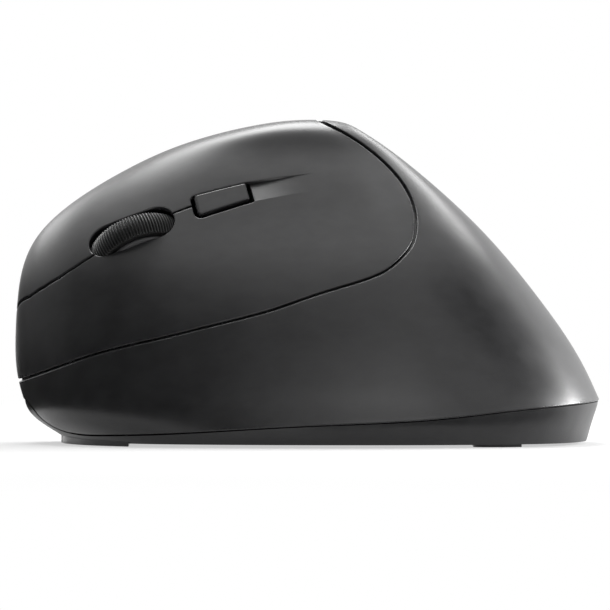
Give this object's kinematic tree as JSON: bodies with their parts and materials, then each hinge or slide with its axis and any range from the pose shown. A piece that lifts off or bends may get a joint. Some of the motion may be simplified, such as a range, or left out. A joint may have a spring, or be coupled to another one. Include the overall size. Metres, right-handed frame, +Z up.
{
  "type": "vertical ergonomic mouse",
  "caption": "Wireless upright mouse for the left hand: sloped finger cover with keys and scroll wheel, thumb buttons, and a flat base on sliding feet.",
  "frame": {"origin": "under the middle of the body, on the surface that the feet stand on", "axes": "+Y towards the front, where the fingers point; +X towards the thumb; +Z up"},
  "size_m": [0.0755, 0.1209, 0.0669],
  "materials": {
    "shell_plastic": "fine matte grain",
    "cover_plastic": "satin, finer grain",
    "base_plastic": "fine matte grain",
    "button_plastic": "satin",
    "inner_plastic": "moulded",
    "wheel_rubber": "ribbed rubber",
    "board_laminate": "solder mask",
    "chip_resin": "moulded resin",
    "plunger_plastic": "moulded",
    "steel": "bright",
    "contact_metal": "nickel plated spring strip",
    "lens_plastic": "clear moulding",
    "lamp_plastic": "frosted light guide",
    "cell_sleeve": "satin sleeve",
    "foot_plastic": "low friction sheet"
  },
  "bodies": {
    "base": {"base_plate": "base_plastic", "main_shell": "shell_plastic", "finger_cover": "cover_plastic", "inner_frame": "inner_plastic", "angled_board": "board_laminate", "thumb_board": "board_laminate", "main_board": "board_laminate", "sensor_chip": "chip_resin", "sensor_lens": "lens_plastic", "control_chip": "chip_resin", "board_screws": "steel", "battery_tray": "inner_plastic", "battery_cell": "cell_sleeve", "rear_contact": "contact_metal", "front_contact": "contact_metal", "receiver": "chip_resin", "power_switch": "chip_resin", "pair_switch": "chip_resin", "case_screws": "steel", "front_foot": "foot_plastic", "rear_foot": "foot_plastic", "thumb_side_foot": "foot_plastic", "status_lamp": "lamp_plastic", "index_switch": "chip_resin", "middle_switch": "chip_resin", "front_thumb_switch": "chip_resin", "rear_thumb_switch": "chip_resin", "speed_switch": "chip_resin", "wheel_switch": "chip_resin"},
    "index_button": {"index_key": "cover_plastic", "index_plunger": "plunger_plastic"},
    "middle_button": {"middle_key": "cover_plastic", "middle_plunger": "plunger_plastic"},
    "wheel_carrier": {"wheel_fork": "inner_plastic", "wheel_encoder": "chip_resin", "wheel_plunger": "plunger_plastic"},
    "wheel": {"wheel_tyre": "wheel_rubber", "wheel_hub": "inner_plastic", "wheel_axle": "steel"},
    "speed_key": {"speed_button": "button_plastic", "speed_plunger": "plunger_plastic"},
    "front_thumb_key": {"front_thumb_button": "button_plastic", "front_thumb_plunger": "plunger_plastic"},
    "rear_thumb_key": {"rear_thumb_button": "button_plastic", "rear_thumb_plunger": "plunger_plastic"},
    "power_knob": {"power_slider": "button_plastic"},
    "pair_key": {"pair_button": "button_plastic"},
    "door": {"battery_door": "base_plastic"}
  },
  "joints": [
    {"name": "index_press", "type": "hinge", "parent": "base", "child": "index_button", "pos_m": [-0.00546, 0.00806, 0.05148], "axis": [-0.7004, -0.2676, -0.6617], "range_deg": [0, 0.5], "stiffness_Nm_per_rad": 2, "springref_deg": -0.34},
    {"name": "middle_press", "type": "hinge", "parent": "base", "child": "middle_button", "pos_m": [-0.00546, 0.00806, 0.05148], "axis": [-0.7004, -0.2676, -0.6617], "range_deg": [0, 0.5], "stiffness_Nm_per_rad": 2, "springref_deg": -0.34},
    {"name": "wheel_press", "type": "slide", "parent": "base", "child": "wheel_carrier", "axis": [0.7138, -0.2622, -0.6495], "range_m": [0, 0.0005], "stiffness_N_per_m": 1500, "springref_m": -0.0002},
    {"name": "wheel_spin", "type": "hinge", "parent": "wheel_carrier", "child": "wheel", "pos_m": [-0.00206, 0.03384, 0.03746], "axis": [0.7004, 0.2676, 0.6617], "continuous": true},
    {"name": "speed_press", "type": "slide", "parent": "base", "child": "speed_key", "axis": [0.7138, -0.2622, -0.6495], "range_m": [0, 0.0004], "stiffness_N_per_m": 1500, "springref_m": -0.0002},
    {"name": "front_thumb_press", "type": "slide", "parent": "base", "child": "front_thumb_key", "axis": [-1, 0, 0], "range_m": [0, 0.0005], "stiffness_N_per_m": 1500, "springref_m": -0.0002},
    {"name": "rear_thumb_press", "type": "slide", "parent": "base", "child": "rear_thumb_key", "axis": [-1, 0, 0], "range_m": [0, 0.0005], "stiffness_N_per_m": 1500, "springref_m": -0.0002},
    {"name": "power_slide", "type": "slide", "parent": "base", "child": "power_knob", "axis": [0, 1, 0], "range_m": [0, 0.003]},
    {"name": "pair_press", "type": "slide", "parent": "base", "child": "pair_key", "axis": [0, 0, 1], "range_m": [0, 0.0003], "stiffness_N_per_m": 1500, "springref_m": -0.0002},
    {"name": "door_slide", "type": "slide", "parent": "base", "child": "door", "axis": [1, 0, 0], "range_m": [0, 0.012]}
  ]
}
